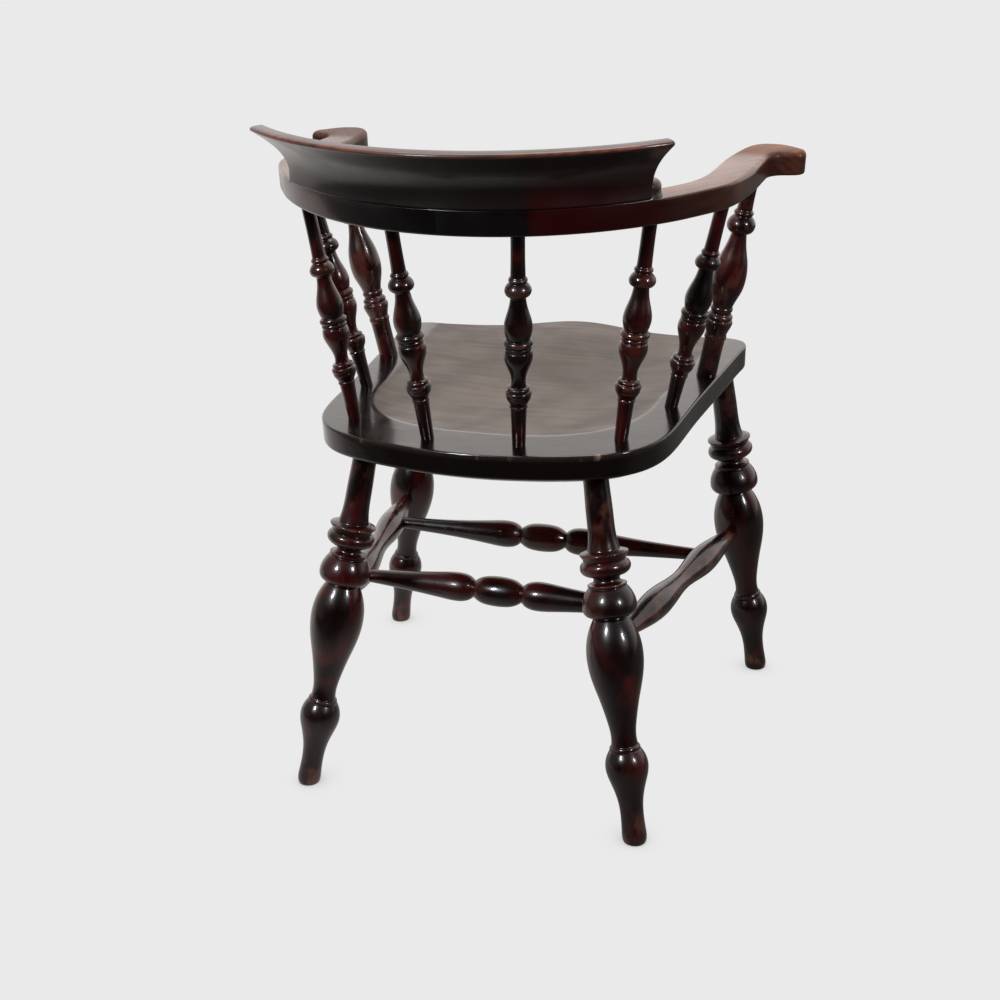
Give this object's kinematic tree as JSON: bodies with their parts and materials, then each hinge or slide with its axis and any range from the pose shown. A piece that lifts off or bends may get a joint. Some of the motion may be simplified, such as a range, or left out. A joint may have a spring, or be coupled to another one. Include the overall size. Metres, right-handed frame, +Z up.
{
  "type": "smoker's bow armchair",
  "caption": "Low wooden armchair with a horseshoe bow and thick crest on turned spindles, a dished plank seat and turned legs tied by a double H of stretchers.",
  "frame": {"origin": "on the floor, under the middle of the whole chair", "axes": "+Z up, -Y towards the front of the seat, +X towards the sitter's left"},
  "size_m": [0.594, 0.5496, 0.7684],
  "materials": {
    "turned_wood": "dark red-brown polish",
    "seat_wood": "worn dark polish",
    "crest_wood": "dark red-brown polish",
    "arm_wood": "dark polish worn to brown on top",
    "dowel_wood": "bare"
  },
  "bodies": {
    "root": {"rear_left_leg": "turned_wood", "rear_right_leg": "turned_wood", "front_left_leg": "turned_wood", "front_right_leg": "turned_wood", "left_side_stretcher": "turned_wood", "right_side_stretcher": "turned_wood", "rear_cross_stretcher": "turned_wood", "front_cross_stretcher": "turned_wood", "left_back_spindle": "turned_wood", "right_back_spindle": "turned_wood", "left_corner_spindle": "turned_wood", "right_corner_spindle": "turned_wood", "left_side_spindle": "turned_wood", "right_side_spindle": "turned_wood", "left_arm_post": "turned_wood", "right_arm_post": "turned_wood", "seat": "seat_wood", "crest": "crest_wood", "left_arm": "arm_wood", "right_arm": "arm_wood", "crest_dowels": "dowel_wood"}
  },
  "joints": []
}
